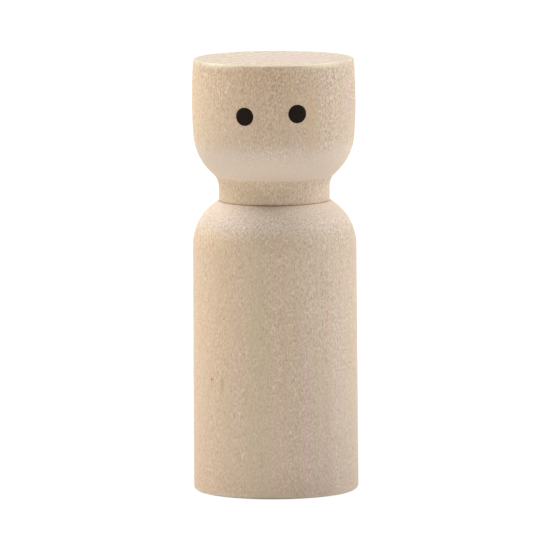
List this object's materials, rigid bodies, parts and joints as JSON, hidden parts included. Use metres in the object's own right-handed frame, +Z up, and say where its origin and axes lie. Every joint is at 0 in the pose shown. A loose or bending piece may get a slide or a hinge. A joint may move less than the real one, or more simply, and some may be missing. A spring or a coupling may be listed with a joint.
{
  "type": "peg doll",
  "caption": "Plain turned wooden peg doll: a flat-topped head with painted dot eyes and a short neck sits on a dowel in a round-shouldered body and turns by hand.",
  "frame": {"origin": "centre of the round foot, on the surface that the doll stands on", "axes": "+Z up along the turning axis, from the foot to the crown; the painted eyes look towards -Y"},
  "size_m": [0.025, 0.025, 0.0657],
  "materials": {
    "turned_wood": "bare turned and sanded pale hardwood, matte",
    "dowel_wood": "bare smooth dowel stock",
    "eye_paint": "thin dab of matte black paint"
  },
  "bodies": {
    "body": {"body": "turned_wood", "neck_dowel": "dowel_wood"},
    "head": {"head": "turned_wood", "left_eye": "eye_paint", "right_eye": "eye_paint"}
  },
  "joints": [
    {"name": "head_turn", "type": "hinge", "parent": "body", "child": "head", "pos_m": [0, 0, 0.0441], "axis": [0, 0, 1], "continuous": true}
  ]
}
